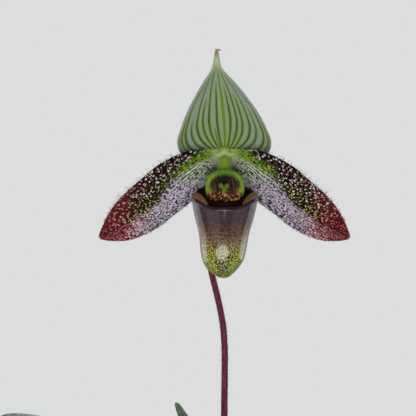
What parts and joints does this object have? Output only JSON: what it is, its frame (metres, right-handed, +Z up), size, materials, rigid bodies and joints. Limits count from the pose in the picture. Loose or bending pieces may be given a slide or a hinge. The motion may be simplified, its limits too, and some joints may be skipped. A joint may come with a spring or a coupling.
{
  "type": "potted paphiopedilum wardii",
  "caption": "Slipper orchid in flower on one upright stem, with a pouched lip, spotted petals and a striped hood, above arching leaves in a plain clay pot of bark.",
  "frame": {"origin": "middle of the pot's underside, on the surface that the pot stands on", "axes": "+Z up along the pot's axis; the flower faces -Y, and its left and right petals reach along -X and +X"},
  "size_m": [0.2404, 0.106, 0.3128],
  "materials": {
    "clay": "matte",
    "bark": "matte",
    "root": "matte",
    "leaf": "satin",
    "stem": "matte",
    "bract": "satin",
    "sepal": "satin",
    "petal": "satin",
    "pouch": "gloss",
    "column": "satin"
  },
  "bodies": {
    "root": {"pot": "clay", "potting_mix": "bark", "rootstock": "root", "leaf_1": "leaf", "leaf_2": "leaf", "leaf_3": "leaf", "leaf_4": "leaf", "leaf_5": "leaf", "leaf_6": "leaf", "scape": "stem", "bract": "bract", "ovary": "stem", "dorsal_sepal": "sepal", "synsepal": "sepal", "petal_left": "petal", "petal_right": "petal", "pouch": "pouch", "column": "column"}
  },
  "joints": []
}
